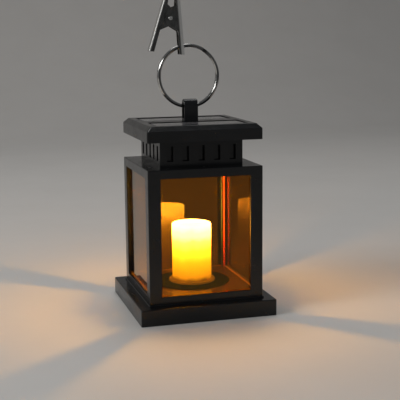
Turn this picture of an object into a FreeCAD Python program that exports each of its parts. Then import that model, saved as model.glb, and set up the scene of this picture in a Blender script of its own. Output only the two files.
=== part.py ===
import FreeCAD, Part
import math
import os

# Hanging solar lantern, in millimetres.  +Z is up, the origin is the centre of the plinth's underside,
# the front face looks along -Y.  A square plinth carries a glazed frame with an LED candle inside.  A vented
# neck and a flat cap with two solar panels close it.  A lug on the cap holds a split ring and a spring clip.

VECTOR = FreeCAD.Vector
OUT = "parts"

# ---------------------------------------------------------------- driving dimensions
BASE_HALF = 55.0            # plinth, half its width
BASE_TOP = 13.0
BASE_WALL = 2.2
BASE_PLATE = 2.0
COLLAR_HALF = 47.1          # low raised edge round the frame's foot
COLLAR_TOP = 14.2
BODY_HALF = 46.15           # glazed frame
BODY_TOP = 119.5
FRAME_WALL = 2.5
ROOF_PLATE = 2.0
WINDOW_HALF = 36.15
WINDOW_BOTTOM = 20.0
WINDOW_TOP = 112.4
NECK_HALF = 33.5
NECK_WALL = 1.8
CAP_HALF = 46.1
CAP_BOTTOM = 140.3
CAP_SHOULDER = 149.0        # where the cap's slope begins
CAP_TOP = 152.6
CAP_SLOPE = 3.8             # how far the slope runs in
CAP_WALL = 2.2
CAP_CEILING = 148.6         # underside of the cap's top plate
FIT = 0.1                   # clearance between pieces that are set against each other
SCREW_R = 1.15              # self-tapping screws and the bores they cut their thread in
SCREW_BORE_R = 1.15
SCREW_PASS_R = 1.4          # hole that the same screw passes through freely
SMALL_SCREW_R = 0.88

# ---------------------------------------------------------------- plinth and floor
COVER_BOTTOM = 1.0
COVER_TOP = 3.0
COVER_SCREW = 46.0          # the cover's screws stand at plus and minus this
TRAY_SCREW = 34.5
PLATE_OPENING_X = 31.0
PLATE_OPENING_Y = 27.0
FLANGE_TOP = 14.6           # inward flange at the frame's foot, which the floor tray clamps
FLANGE_INNER = 39.0
TRAY_HALF = 42.3
TRAY_TOP = 19.5
TRAY_WALL = 1.6
SEAT_R = 31.0
SEAT_TOP = 20.3

# ---------------------------------------------------------------- panes
PANE = 1.15
PANE_OUTER = BODY_HALF - FRAME_WALL - 0.05
PANE_BOTTOM = FLANGE_TOP + FIT
PANE_TOP = BODY_TOP - ROOF_PLATE - FIT
LIP_BOTTOM = 113.5          # ring wall behind the top rail that holds the panes' upper edges

# ---------------------------------------------------------------- candle and its light
CANDLE_R = 16.1
CANDLE_FOOT_R = 18.9
CANDLE_FOOT_TOP = 22.2
CANDLE_BOTTOM = SEAT_TOP + 0.05
CANDLE_TOP = 68.4
CANDLE_DISH = 2.0
CANDLE_WALL = 1.6
STEM_R = 4.2
STEM_BORE_R = 2.7
STEM_TOP = 51.0
LED_R = 2.5

# ---------------------------------------------------------------- vents and inner flanges of the neck
VENT_PITCH = 12.7
VENTS_PER_SIDE = 5
VENT_WIDTH = 5.0
VENT_BOTTOM = 124.0
VENT_TOP = 135.9
NECK_TOP = CAP_CEILING - FIT
NECK_FLANGE_INNER = 22.0
SEAM = 0.02                 # between panels that butt together
NECK_LOW_FLANGE = 1.8
NECK_HIGH_FLANGE = (140.2, 142.0)
NECK_SCREW = 25.8           # screws at the middle of each side, this far from the axis
NECK_BOSS_TOP = 127.0
LINER_T = 0.6               # thin strip behind the vents that keeps rain and light out
LINER_GAP = 1.4             # it stands this far inside the wall, so that air still passes

# ---------------------------------------------------------------- solar panels in the cap
BAR_HALF = 7.6              # solid bar across the cap between the two recesses
RECESS_HALF = 37.2
RECESS_FLOOR = 150.4
PANEL_GAP = 0.4
PANEL_T = 1.5
CELLS_PER_PANEL = 4
CELL_GAP = 0.5
CELL_T = 0.2
CELL_BORDER = 1.6

# ---------------------------------------------------------------- lug, split ring
LUG_HALF_X = 5.7
LUG_HALF_Y = 4.5
LUG_TOP = 170.0
LUG_FLANGE = (12.0, 7.0, 1.8)   # half length, half width and thickness of its plate under the cap
LUG_SCREW = 9.2
EYE_HALF = 3.0
EYE_BOTTOM = 154.6
EYE_ROUND_Z = 164.2
RING_AXIS_Z = 164.0         # middle of the ring's wire where it lies in the lug's eye
RING_X = -1.1
RING_MID_R = 24.2
WIRE_RADIAL = 2.8
WIRE_AXIAL = 1.42
COIL_OFFSET = 0.74
WIRE_CORNER = 0.35
SPLIT_FROM = 6.0            # degrees from +X: the wire crosses from one coil to the other between these
SPLIT_TO = 60.0
RING_Z = RING_AXIS_Z + RING_MID_R

# ---------------------------------------------------------------- spring clip
CLIP_X = -15.9              # its pivot
CLIP_Z = 233.8
CLIP_LEAN = 6.8             # degrees from the vertical, towards +X
CLIP_SHEET = 0.8
CLIP_HALF_WIDTH = 3.8
CLIP_EAR_GAP = 0.05
SPINE_AT_PIVOT = 9.33       # from the clip's middle line to the outside of each spine
SPINE_SLOPE = 0.194
HANDLE_END = -27.2          # measured along the middle line from the pivot
JAW_END = 34.0
HANDLE_FLANGE = 4.0
TOOTH_PITCH = 2.3
TOOTH_HEIGHT = 1.0
TOOTH_GAP = 0.12
# each half's outline beside the teeth and round the pin, as (along, across)
CLIP_THROAT = [(18.6, 1.2), (16.5, 3.2), (10.2, 3.5)]
CLIP_EAR = [(8.4, 0.4), (7.2, -3.0), (3.0, -4.4), (-2.5, -4.4), (-5.4, -2.4), (-6.0, 0.0)]
RING_HOLE_AT = -20.4
RING_HOLE_R = 2.5
PIN_R = 1.2
PIN_BORE_R = 1.26
PIN_HEAD_R = 1.6
PIN_HEAD = 0.6
SPRING_WIRE_R = 0.45
SPRING_COIL_R = 2.4
SPRING_LEG_END = -16.5

# ---------------------------------------------------------------- electrics
CELL_R = 7.25               # AA cell
CELL_HALF = 24.9
CELL_Y = -12.0
CELL_Z = 10.15
BAY_HALF_X = 29.0
BAY_HALF_Y = 8.0
BAY_WALL = 1.2
DOOR_END = 38.0
DOOR_SCREW_X = 34.0
DOOR_GROOVES = (-26.0, 3.0, 1.2, 5)   # first groove, pitch, width and how many
BOARD_BOTTOM = 7.0
BOARD_T = 1.2
BOARD_X = 20.0
BOARD_Y = (4.0, 25.0)
BOARD_MIDDLE_Y = (BOARD_Y[0] + BOARD_Y[1]) / 2
BOARD_POST_X = 17.0
SWITCH_Y = 34.0
KNOB_TRAVEL = 3.0
KNOB_LENGTH = 4.0
KNOB_WIDTH = 3.0
LEAD_R = 0.75
RED_LEAD = (40.7, 40.0)     # where the two solar leads run up the rear right corner
BLACK_LEAD = (38.9, 41.1)
LEAD_SLOT = (38.0, 39.0, 42.0)
ROOF_LEAD_HOLE = (25.5, 25.5)
ROOF_LEAD_HOLE_R = 2.2
PANEL_LEAD_X = 18.0
PANEL_LEAD_Y = 14.0
LEAD_BEND = 2.5


# ---------------------------------------------------------------- helpers
def block(x0, x1, y0, y1, z0, z1):
    return Part.makeBox(x1 - x0, y1 - y0, z1 - z0, VECTOR(x0, y0, z0))


def square(half, z0, z1):
    return block(-half, half, -half, half, z0, z1)


def square_ring(outer, inner, z0, z1):
    return square(outer, z0, z1).cut(square(inner, z0 - 1, z1 + 1))


def post(x, y, radius, z0, z1):
    return Part.makeCylinder(radius, z1 - z0, VECTOR(x, y, z0))


def cross_rod(x, z, radius, y0, y1):
    """A cylinder along Y."""
    return Part.makeCylinder(radius, y1 - y0, VECTOR(x, y0, z), VECTOR(0, 1, 0))


def fuse(shapes):
    shapes = list(shapes)
    return shapes[0].fuse(shapes[1:]).removeSplitter() if len(shapes) > 1 else shapes[0]


def edges(shape, test):
    return [e for e in shape.Edges if all(test(v.Point) for v in e.Vertexes)]


def upright_edges(shape, half):
    def on_corner(e):
        ends = [v.Point for v in e.Vertexes]
        at_corner = all(abs(abs(p.x) - half) < 1e-3 and abs(abs(p.y) - half) < 1e-3 for p in ends)
        return at_corner and len(ends) == 2 and abs(ends[0].z - ends[1].z) > 1e-3
    return [e for e in shape.Edges if on_corner(e)]


def corners(at):
    return [(sx * at, sy * at) for sx in (-1, 1) for sy in (-1, 1)]


def side_middles(at):
    return [(at, 0), (-at, 0), (0, at), (0, -at)]


def turned(x0, x1, y0, y1, z0, z1):
    """A slot's cutter for the two faces along Y, and the same for the two along X."""
    return [block(x0, x1, y0, y1, z0, z1), block(y0, y1, x0, x1, z0, z1)]


def tube(points, radius, bend):
    """A round lead through the points: straight runs joined by tangent arcs of radius bend."""
    path = [VECTOR(*p) for p in points]
    pieces = []
    start = path[0]
    for before, corner, after in zip(path, path[1:], path[2:]):
        back = (before - corner).normalize()
        on = (after - corner).normalize()
        turn = math.pi - back.getAngle(on)
        cut = bend * math.tan(turn / 2)
        enter = corner + back * cut
        leave = corner + on * cut
        middle_way = (back + on).normalize()
        middle = corner + middle_way * (bend / math.cos(turn / 2) - bend)
        pieces.append(Part.LineSegment(start, enter).toShape())
        pieces.append(Part.Arc(enter, middle, leave).toShape())
        start = leave
    pieces.append(Part.LineSegment(start, path[-1]).toShape())
    spine = Part.Wire(pieces)
    along = (path[1] - path[0]).normalize()
    profile = Part.Wire([Part.Circle(path[0], along, radius).toShape()])
    made = spine.makePipeShell([profile], True, False)
    share = made.Volume / (math.pi * radius ** 2 * spine.Length)
    if abs(share - 1) > 0.01:
        raise ValueError("a lead's volume is %.3f of its section times its length" % share)
    return made


def pan_screw(x, y, head_z, up, length, head_r=2.5, head_h=1.5, shank_r=SCREW_R):
    """A cross-head screw whose head's bearing face is at head_z; the shank runs up or down from it."""
    way = 1 if up else -1
    axis = VECTOR(0, 0, way)
    head = Part.makeCylinder(head_r, head_h, VECTOR(x, y, head_z - way * head_h), axis)
    rim = edges(head, lambda p: abs(p.z - (head_z - way * head_h)) < 1e-3)
    head = head.makeFillet(head_h * 0.5, rim)
    shank = Part.makeCylinder(shank_r, length, VECTOR(x, y, head_z), axis)
    depth = head_h * 0.6
    low, high = sorted((head_z - way * head_h, head_z - way * (head_h - depth)))
    slots = [block(x - 1.4, x + 1.4, y - 0.3, y + 0.3, low - 0.01, high),
             block(x - 0.3, x + 0.3, y - 1.4, y + 1.4, low - 0.01, high)]
    return head.fuse(shank).cut(slots[0]).cut(slots[1])


def small_screw(x, y, head_z, up):
    return pan_screw(x, y, head_z, up, 4.4, head_r=1.9, head_h=1.2, shank_r=SMALL_SCREW_R)


def sunk_screw(x, y, face_z, length, head_r=2.5, head_h=1.3, shank_r=SCREW_R):
    """A countersunk cross-head screw driven upwards, its flat face at face_z."""
    head = Part.makeCone(head_r, shank_r, head_h, VECTOR(x, y, face_z))
    shank = post(x, y, shank_r, face_z + head_h, face_z + length)
    slots = [block(x - 1.4, x + 1.4, y - 0.3, y + 0.3, face_z - 0.1, face_z + 0.8),
             block(x - 0.3, x + 0.3, y - 1.4, y + 1.4, face_z - 0.1, face_z + 0.8)]
    return head.fuse(shank).cut(slots[0]).cut(slots[1])


def sunk_hole(x, y, face_z):
    return Part.makeCone(2.65, 1.3, 1.35, VECTOR(x, y, face_z)).fuse(post(x, y, 1.3, face_z, face_z + 4))


def lead_slot(z0, z1, end=LEAD_SLOT[2]):
    """The small corner passage that both solar leads go through."""
    return block(LEAD_SLOT[0], end, LEAD_SLOT[1], end, z0, z1)


# ---------------------------------------------------------------- plinth
def base_shell():
    body = square(BASE_HALF, 0, BASE_TOP)
    body = body.makeFillet(1.2, upright_edges(body, BASE_HALF))
    body = body.makeFillet(0.8, edges(body, lambda p: abs(p.z - BASE_TOP) < 1e-3))
    collar = square(COLLAR_HALF, BASE_TOP - 1, COLLAR_TOP)
    collar = collar.makeFillet(1.2, upright_edges(collar, COLLAR_HALF))
    collar = collar.makeFillet(0.4, edges(collar, lambda p: abs(p.z - COLLAR_TOP) < 1e-3))
    body = fuse([body, collar])
    body = body.cut(square(BODY_HALF + 0.05, BASE_TOP, COLLAR_TOP + 1))
    body = body.cut(square(BASE_HALF - BASE_WALL, -1, BASE_TOP - BASE_PLATE))
    reach_x, reach_y = PLATE_OPENING_X, PLATE_OPENING_Y
    body = body.cut(block(-reach_x, reach_x, -reach_y, reach_y, 0, BASE_TOP + 1))
    bosses = [post(x, y, 3.4, COVER_TOP + 0.05, BASE_TOP - 0.5) for x, y in corners(COVER_SCREW)]
    body = fuse([body] + bosses)
    for x, y in corners(COVER_SCREW):
        body = body.cut(post(x, y, SCREW_BORE_R, 0, BASE_TOP - 1.5))
    for x, y in corners(TRAY_SCREW):
        body = body.cut(post(x, y, SCREW_PASS_R, 0, BASE_TOP + 1))
    return body.cut(lead_slot(0, BASE_TOP + 1))


def bottom_cover():
    plate = square(BASE_HALF - BASE_WALL - 0.2, COVER_BOTTOM, COVER_TOP)
    bay_y0, bay_y1 = CELL_Y - BAY_HALF_Y, CELL_Y + BAY_HALF_Y
    bay = block(-BAY_HALF_X - BAY_WALL, BAY_HALF_X + BAY_WALL, bay_y0 - BAY_WALL, bay_y1 + BAY_WALL,
                COVER_TOP, BASE_TOP - BASE_PLATE)
    door_boss = block(BAY_HALF_X + BAY_WALL, DOOR_END - 0.6, CELL_Y - 3.5, CELL_Y + 3.5,
                      COVER_TOP, COVER_TOP + 5)
    posts = [post(x, BOARD_MIDDLE_Y, 2.6, COVER_TOP, BOARD_BOTTOM) for x in (-BOARD_POST_X, BOARD_POST_X)]
    plate = fuse([plate, bay, door_boss] + posts)
    plate = plate.cut(block(-BAY_HALF_X, BAY_HALF_X, bay_y0, bay_y1, 0, BASE_TOP))
    plate = plate.cut(block(-BAY_HALF_X - 2, DOOR_END, bay_y0 - 0.5, bay_y1 + 0.5, 0, COVER_TOP - 0.4))
    plate = plate.cut(post(DOOR_SCREW_X, CELL_Y, SCREW_BORE_R, 0, COVER_TOP + 4))
    for x in (-BOARD_POST_X, BOARD_POST_X):
        plate = plate.cut(post(x, BOARD_MIDDLE_Y, 0.9, COVER_TOP + 0.5, BOARD_BOTTOM + 1))
    for x, y in corners(COVER_SCREW):
        plate = plate.cut(sunk_hole(x, y, COVER_BOTTOM))
    return plate.cut(switch_slot(0, COVER_TOP + 1))


def switch_slot(z0, z1):
    """The slot the switch's knob slides in."""
    reach = (KNOB_LENGTH + KNOB_TRAVEL) / 2 + 0.15
    half = KNOB_WIDTH / 2 + 0.15
    return block(-reach, reach, SWITCH_Y - half, SWITCH_Y + half, z0, z1)


def battery_door():
    bay_y0, bay_y1 = CELL_Y - BAY_HALF_Y, CELL_Y + BAY_HALF_Y
    door = block(-BAY_HALF_X - 1.8, DOOR_END - 0.2, bay_y0 - 0.3, bay_y1 + 0.3, COVER_BOTTOM, COVER_TOP - 0.5)
    first, pitch, width, grooves = DOOR_GROOVES
    for n in range(grooves):
        x = first + pitch * n
        door = door.cut(block(x, x + width, CELL_Y - 5, CELL_Y + 5, 0, COVER_BOTTOM + 0.5))
    return door.cut(sunk_hole(DOOR_SCREW_X, CELL_Y, COVER_BOTTOM))


def cover_screws():
    return Part.makeCompound([sunk_screw(x, y, COVER_BOTTOM + 0.05, 8.5) for x, y in corners(COVER_SCREW)])


def door_screw():
    return sunk_screw(DOOR_SCREW_X, CELL_Y, COVER_BOTTOM + 0.05, 5.5)


# ---------------------------------------------------------------- floor of the glazed chamber
def floor_tray():
    tray = square(TRAY_HALF, FLANGE_TOP + FIT, TRAY_TOP)
    tray = tray.makeFillet(0.5, edges(tray, lambda p: abs(p.z - TRAY_TOP) < 1e-3))
    tray = tray.cut(square(TRAY_HALF - TRAY_WALL, 0, TRAY_TOP - TRAY_WALL))
    bosses = [post(x, y, 3.2, BASE_TOP + 0.05, TRAY_TOP - 0.5) for x, y in corners(TRAY_SCREW)]
    tray = fuse([tray] + bosses)
    for x, y in corners(TRAY_SCREW):
        tray = tray.cut(post(x, y, SCREW_BORE_R, 0, TRAY_TOP - 1.6))
    tray = tray.cut(post(0, 0, STEM_BORE_R, 0, TRAY_TOP + 1))
    return tray.cut(lead_slot(0, TRAY_TOP + 1, TRAY_HALF + 1))


def tray_screws():
    return Part.makeCompound([pan_screw(x, y, BASE_TOP - BASE_PLATE - 0.02, True, 6.0)
                              for x, y in corners(TRAY_SCREW)])


def candle_seat():
    disc = post(0, 0, SEAT_R, TRAY_TOP + 0.02, SEAT_TOP)
    disc = disc.makeFillet(0.4, edges(disc, lambda p: abs(p.z - SEAT_TOP) < 1e-3))
    boss = post(0, 0, CANDLE_R - CANDLE_WALL - 0.2, SEAT_TOP - 0.1, SEAT_TOP + 3)
    boss = boss.cut(post(0, 0, CANDLE_R - CANDLE_WALL - 1.8, SEAT_TOP, SEAT_TOP + 4))
    return fuse([disc, boss]).cut(post(0, 0, STEM_BORE_R, 0, SEAT_TOP + 1))


# ---------------------------------------------------------------- candle
def candle_shell():
    side = post(0, 0, CANDLE_R, CANDLE_BOTTOM, CANDLE_TOP)
    side = side.makeFillet(1.0, edges(side, lambda p: abs(p.z - CANDLE_TOP) < 1e-3))
    foot = post(0, 0, CANDLE_FOOT_R, CANDLE_BOTTOM, CANDLE_FOOT_TOP)
    foot = foot.makeFillet(0.8, edges(foot, lambda p: abs(p.z - CANDLE_FOOT_TOP) < 1e-3))
    dish_z = CANDLE_TOP - CANDLE_DISH
    body = fuse([side, foot])
    body = body.cut(Part.makeCone(CANDLE_R - 3.2, CANDLE_R - 1.8, CANDLE_DISH + 0.1, VECTOR(0, 0, dish_z)))
    return body.cut(post(0, 0, CANDLE_R - CANDLE_WALL, 0, dish_z - 1.5))


def led_stem():
    stem = post(0, 0, STEM_R, SEAT_TOP + 0.05, STEM_TOP)
    foot = post(0, 0, 8.0, SEAT_TOP + 0.05, SEAT_TOP + 1.6)
    return fuse([stem, foot]).cut(post(0, 0, STEM_BORE_R, 0, STEM_TOP + 1))


def led():
    rim = post(0, 0, LED_R + 0.4, STEM_TOP + 0.02, STEM_TOP + 1.0)
    barrel = post(0, 0, LED_R, STEM_TOP + 0.9, STEM_TOP + 6.0)
    dome = Part.makeSphere(LED_R, VECTOR(0, 0, STEM_TOP + 6.0), VECTOR(0, 0, 1), 0, 90, 360)
    return fuse([rim, barrel, dome])


def led_leads():
    low = BOARD_BOTTOM + BOARD_T + 0.45
    return Part.makeCompound([tube([(x, 9.0, low), (x, 0.0, low), (x, 0.0, STEM_TOP)], 0.4, 2.0)
                              for x in (-1.1, 1.1)])


# ---------------------------------------------------------------- glazed frame
def frame():
    body = square(BODY_HALF, BASE_TOP, BODY_TOP)
    body = body.makeFillet(0.9, upright_edges(body, BODY_HALF))
    body = body.makeFillet(0.5, edges(body, lambda p: abs(p.z - BODY_TOP) < 1e-3))
    body = body.cut(square(BODY_HALF - FRAME_WALL, FLANGE_TOP, BODY_TOP - ROOF_PLATE))
    body = body.cut(square(FLANGE_INNER, 0, FLANGE_TOP + 1))
    for cutter in turned(-WINDOW_HALF, WINDOW_HALF, -60, 60, WINDOW_BOTTOM, WINDOW_TOP):
        body = body.cut(cutter)

    def on_window_rim(p):
        outside = abs(max(abs(p.x), abs(p.y)) - BODY_HALF) < 1e-3
        across = abs(min(abs(p.x), abs(p.y)) - WINDOW_HALF) < 1e-3
        return outside and across and WINDOW_BOTTOM - 0.01 < p.z < WINDOW_TOP + 0.01
    body = body.makeChamfer(0.35, edges(body, on_window_rim))
    behind = PANE_OUTER - PANE
    lip = square_ring(behind - FIT, behind - 1.4, LIP_BOTTOM, BODY_TOP - ROOF_PLATE + 0.5)
    body = fuse([body, lip])
    for x, y in side_middles(NECK_SCREW):
        body = body.cut(post(x, y, SCREW_PASS_R, BODY_TOP - 5, BODY_TOP + 1))
    body = body.cut(post(*ROOF_LEAD_HOLE, ROOF_LEAD_HOLE_R, BODY_TOP - 5, BODY_TOP + 1))
    return body.cut(lead_slot(0, FLANGE_TOP + 1))


def pane(side):
    inner = PANE_OUTER - PANE
    if side in ("front", "rear"):
        y0, y1 = (-PANE_OUTER, -inner) if side == "front" else (inner, PANE_OUTER)
        return block(-PANE_OUTER + 0.05, PANE_OUTER - 0.05, y0, y1, PANE_BOTTOM, PANE_TOP)
    x0, x1 = (-PANE_OUTER, -inner) if side == "left" else (inner, PANE_OUTER)
    return block(x0, x1, -inner + 0.05, inner - 0.05, PANE_BOTTOM, PANE_TOP)


# ---------------------------------------------------------------- neck with its vents
def neck():
    """Four panels, each with its vents, a strip of each flange and a boss."""
    wall = square_ring(NECK_HALF, NECK_HALF - NECK_WALL, BODY_TOP + 0.02, NECK_TOP)
    low = square_ring(NECK_HALF - 0.5, NECK_FLANGE_INNER, BODY_TOP + 0.02, BODY_TOP + NECK_LOW_FLANGE)
    high = square_ring(NECK_HALF - 0.5, NECK_FLANGE_INNER, *NECK_HIGH_FLANGE)
    bosses = [post(x, y, 3.0, BODY_TOP + 0.02, NECK_BOSS_TOP) for x, y in side_middles(NECK_SCREW)]
    body = fuse([wall, low, high] + bosses)
    inside = NECK_HALF - NECK_WALL - FIT
    for n in range(VENTS_PER_SIDE):
        middle = (n - (VENTS_PER_SIDE - 1) / 2) * VENT_PITCH
        for near, far in ((-60, -inside), (inside, 60)):
            for cutter in turned(middle - VENT_WIDTH / 2, middle + VENT_WIDTH / 2, near, far,
                                 VENT_BOTTOM, VENT_TOP):
                body = body.cut(cutter)
    for x, y in side_middles(NECK_SCREW):
        body = body.cut(post(x, y, SCREW_BORE_R, BODY_TOP - 1, NECK_BOSS_TOP - 0.8))
        body = body.cut(post(x, y, SCREW_PASS_R, NECK_HIGH_FLANGE[0] - 1, NECK_HIGH_FLANGE[1] + 1))
    for z in (BODY_TOP, NECK_HIGH_FLANGE[0]):
        body = body.cut(post(*ROOF_LEAD_HOLE, ROOF_LEAD_HOLE_R, z - 1, z + 3))
    return Part.makeCompound([body.common(panel) for panel in neck_panels()])


def neck_panels():
    """The room that each of the neck's four panels takes up; they butt in line with the flanges' edges."""
    far, seam = NECK_HALF + 1, NECK_FLANGE_INNER
    between = seam - SEAM
    rooms = ((-far, far, -far, -seam), (-far, far, seam, far),
             (-far, 0, -between, between), (0, far, -between, between))
    return [block(*room, BODY_TOP - 1, NECK_TOP + 1) for room in rooms]


def vent_liner():
    """A strip of thin sheet folded into a square, standing behind the vents between the two flanges."""
    outside = NECK_HALF - NECK_WALL - LINER_GAP
    return square_ring(outside, outside - LINER_T,
                       BODY_TOP + NECK_LOW_FLANGE + FIT, NECK_HIGH_FLANGE[0] - FIT)


def neck_screws():
    return Part.makeCompound([pan_screw(x, y, BODY_TOP - ROOF_PLATE - 0.02, True, 8.0)
                              for x, y in side_middles(NECK_SCREW)])


def cap_screws():
    return Part.makeCompound([pan_screw(x, y, NECK_HIGH_FLANGE[0] - 0.02, True, 6.5)
                              for x, y in side_middles(NECK_SCREW)])


# ---------------------------------------------------------------- cap and hanging lug
def hanging_lug():
    """An upright eye with a full-round top and a tall hole along X; its plate bears up against the cap."""
    length, width, thick = LUG_FLANGE
    z0 = CAP_CEILING - 0.02
    stem = block(-LUG_HALF_X, LUG_HALF_X, -LUG_HALF_Y, LUG_HALF_Y, z0 - thick, LUG_TOP - LUG_HALF_Y)
    crown = Part.makeCylinder(LUG_HALF_Y, 2 * LUG_HALF_X, VECTOR(-LUG_HALF_X, 0, LUG_TOP - LUG_HALF_Y),
                              VECTOR(1, 0, 0))
    body = fuse([stem, crown])
    body = body.makeFillet(0.6, edges(body, lambda p: abs(abs(p.x) - LUG_HALF_X) < 1e-3 and p.z > CAP_TOP))
    body = fuse([body, block(-length, length, -width, width, z0 - thick, z0)])
    reach = LUG_HALF_X + 3
    hole = block(-reach, reach, -EYE_HALF, EYE_HALF, EYE_BOTTOM, EYE_ROUND_Z)
    arch = Part.makeCylinder(EYE_HALF, 2 * reach, VECTOR(-reach, 0, EYE_ROUND_Z), VECTOR(1, 0, 0))
    hole = fuse([hole, arch])
    body = body.cut(hole)
    for x in (-LUG_SCREW, LUG_SCREW):
        body = body.cut(post(x, 0, 1.2, z0 - thick - 1, z0 + 1))
    return body


def lug_screws():
    low = CAP_CEILING - 0.04 - LUG_FLANGE[2]
    return Part.makeCompound([small_screw(x, 0, low, True) for x in (-LUG_SCREW, LUG_SCREW)])


def cap():
    body = square(CAP_HALF, CAP_BOTTOM, CAP_SHOULDER)
    body = body.makeFillet(1.2, upright_edges(body, CAP_HALF))
    slope = Part.makeLoft([wire_at(CAP_HALF, CAP_SHOULDER, 1.2), wire_at(CAP_HALF - CAP_SLOPE, CAP_TOP, 1.0)],
                          True, True)
    body = fuse([body, slope])
    body = body.makeFillet(0.5, edges(body, lambda p: p.z > CAP_TOP - 0.01))
    body = body.cut(square(CAP_HALF - CAP_WALL, CAP_BOTTOM - 1, CAP_CEILING))
    for sign in (-1, 1):
        low, high = sorted((sign * BAR_HALF, sign * RECESS_HALF))
        recess = block(-RECESS_HALF, RECESS_HALF, low, high, RECESS_FLOOR, CAP_TOP + 1)
        recess = recess.makeFillet(1.2, [e for e in recess.Edges
                                         if abs(e.Vertexes[0].Point.z - e.Vertexes[-1].Point.z) > 1])
        body = body.cut(recess)
        for x in (-PANEL_LEAD_X, PANEL_LEAD_X):
            body = body.cut(post(x, sign * PANEL_LEAD_Y, LEAD_R + 0.4, CAP_CEILING - 1, RECESS_FLOOR + 1))
    bosses = [post(x, y, 3.0, NECK_HIGH_FLANGE[1] + 0.02, CAP_CEILING + 0.5)
              for x, y in side_middles(NECK_SCREW)]
    body = fuse([body] + bosses)
    for x, y in side_middles(NECK_SCREW):
        body = body.cut(post(x, y, SCREW_BORE_R, NECK_HIGH_FLANGE[1] - 1, CAP_CEILING - 0.4))
    for x in (-LUG_SCREW, LUG_SCREW):
        body = body.cut(post(x, 0, SMALL_SCREW_R, CAP_CEILING - 1, CAP_TOP - 1.2))
    gap_x, gap_y = LUG_HALF_X + FIT, LUG_HALF_Y + FIT
    return body.cut(block(-gap_x, gap_x, -gap_y, gap_y, CAP_CEILING - 1, CAP_TOP + 1))


def wire_at(half, z, corner):
    """A square outline with rounded corners."""
    flat = half - corner
    bulge = flat + corner * math.sqrt(0.5)
    sides = []
    for quarter in range(4):
        cos, sin = round(math.cos(quarter * math.pi / 2)), round(math.sin(quarter * math.pi / 2))
        start, end, middle, after = [VECTOR(x * cos - y * sin, x * sin + y * cos, z)
                                     for x, y in ((half, -flat), (half, flat), (bulge, bulge), (flat, half))]
        sides.append(Part.LineSegment(start, end).toShape())
        sides.append(Part.Arc(end, middle, after).toShape())
    return Part.Wire(sides)


def panel_span(sign):
    """The panel's outline along Y, inside its recess."""
    return sorted((sign * (BAR_HALF + PANEL_GAP), sign * (RECESS_HALF - PANEL_GAP)))


def solar_board(sign):
    low, high = panel_span(sign)
    half = RECESS_HALF - PANEL_GAP
    board = block(-half, half, low, high, RECESS_FLOOR + 0.02, RECESS_FLOOR + 0.02 + PANEL_T)
    uprights = [e for e in board.Edges if abs(e.Vertexes[0].Point.z - e.Vertexes[-1].Point.z) > 1]
    return board.makeFillet(1.0, uprights)


def solar_cells(sign):
    low, high = panel_span(sign)
    half = RECESS_HALF - PANEL_GAP - CELL_BORDER
    pitch = (high - low - 2 * CELL_BORDER + CELL_GAP) / CELLS_PER_PANEL
    bottom = RECESS_FLOOR + 0.02 + PANEL_T
    strips = []
    for n in range(CELLS_PER_PANEL):
        y = low + CELL_BORDER + n * pitch
        strips.append(block(-half, half, y, y + pitch - CELL_GAP, bottom, bottom + CELL_T))
    return Part.makeCompound(strips)


# ---------------------------------------------------------------- solar leads
def solar_lead(corner, start_x, turn_y, beside, panel_sign):
    """One lead from the board in the plinth, up the rear right corner, into the neck and to its panel."""
    x, y = corner
    low = BOARD_BOTTOM + BOARD_T + LEAD_R + 0.02
    roof_x, roof_y = ROOF_LEAD_HOLE[0] + beside, ROOF_LEAD_HOLE[1] - beside
    path = [(start_x, BOARD_Y[1] - 5.0, low), (start_x, turn_y, low), (x, turn_y, low)]
    if turn_y != y:
        path.append((x, y, low))
    return tube(path + [
        (x, y, 109.0),
        (roof_x, roof_y, 113.5),
        (roof_x, roof_y, 144.6),
        (PANEL_LEAD_X, panel_sign * PANEL_LEAD_Y, CAP_CEILING - 1.6),
        (PANEL_LEAD_X, panel_sign * PANEL_LEAD_Y, RECESS_FLOOR),
    ], LEAD_R, LEAD_BEND)


def red_lead():
    return solar_lead(RED_LEAD, 14.0, 30.0, 0.7, -1)


def black_lead():
    return solar_lead(BLACK_LEAD, 8.0, BLACK_LEAD[1], -0.7, 1)


def panel_link():
    """The short lead that joins the two solar panels under the cap."""
    x, y, low = -PANEL_LEAD_X, PANEL_LEAD_Y, CAP_CEILING - 2.6
    return tube([(x, -y, RECESS_FLOOR), (x, -y, low), (x, y, low), (x, y, RECESS_FLOOR)], LEAD_R, LEAD_BEND)


# ---------------------------------------------------------------- electrics in the plinth
def rechargeable_cell():
    can = Part.makeCylinder(CELL_R, 2 * CELL_HALF - 1.2, VECTOR(-CELL_HALF, CELL_Y, CELL_Z), VECTOR(1, 0, 0))
    rims = [e for e in can.Edges if abs(e.Length - 2 * math.pi * CELL_R) < 1e-3]
    nub = Part.makeCylinder(2.7, 1.4, VECTOR(CELL_HALF - 1.4, CELL_Y, CELL_Z), VECTOR(1, 0, 0))
    return fuse([can.makeFillet(0.6, rims), nub])


def cell_spring():
    back = block(-BAY_HALF_X + 0.02, -BAY_HALF_X + 0.5, CELL_Y - 5, CELL_Y + 5, CELL_Z - 5, CELL_Z + 5)
    turns = []
    for n in range(4):
        middle = VECTOR(-BAY_HALF_X + 0.95 + 0.85 * n, CELL_Y, CELL_Z)
        turns.append(Part.makeTorus(4.2 - 0.5 * n, 0.4, middle, VECTOR(1, 0, 0)))
    return Part.makeCompound([back] + turns)


def cell_plate():
    x = BAY_HALF_X
    back = block(x - 0.5, x - 0.02, CELL_Y - 5, CELL_Y + 5, CELL_Z - 5, CELL_Z + 5)
    reach = x - 0.5 - CELL_HALF - 0.03
    bump = Part.makeCone(2.4, 1.6, reach, VECTOR(x - 0.5, CELL_Y, CELL_Z), VECTOR(-1, 0, 0))
    return fuse([back, bump])


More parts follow.
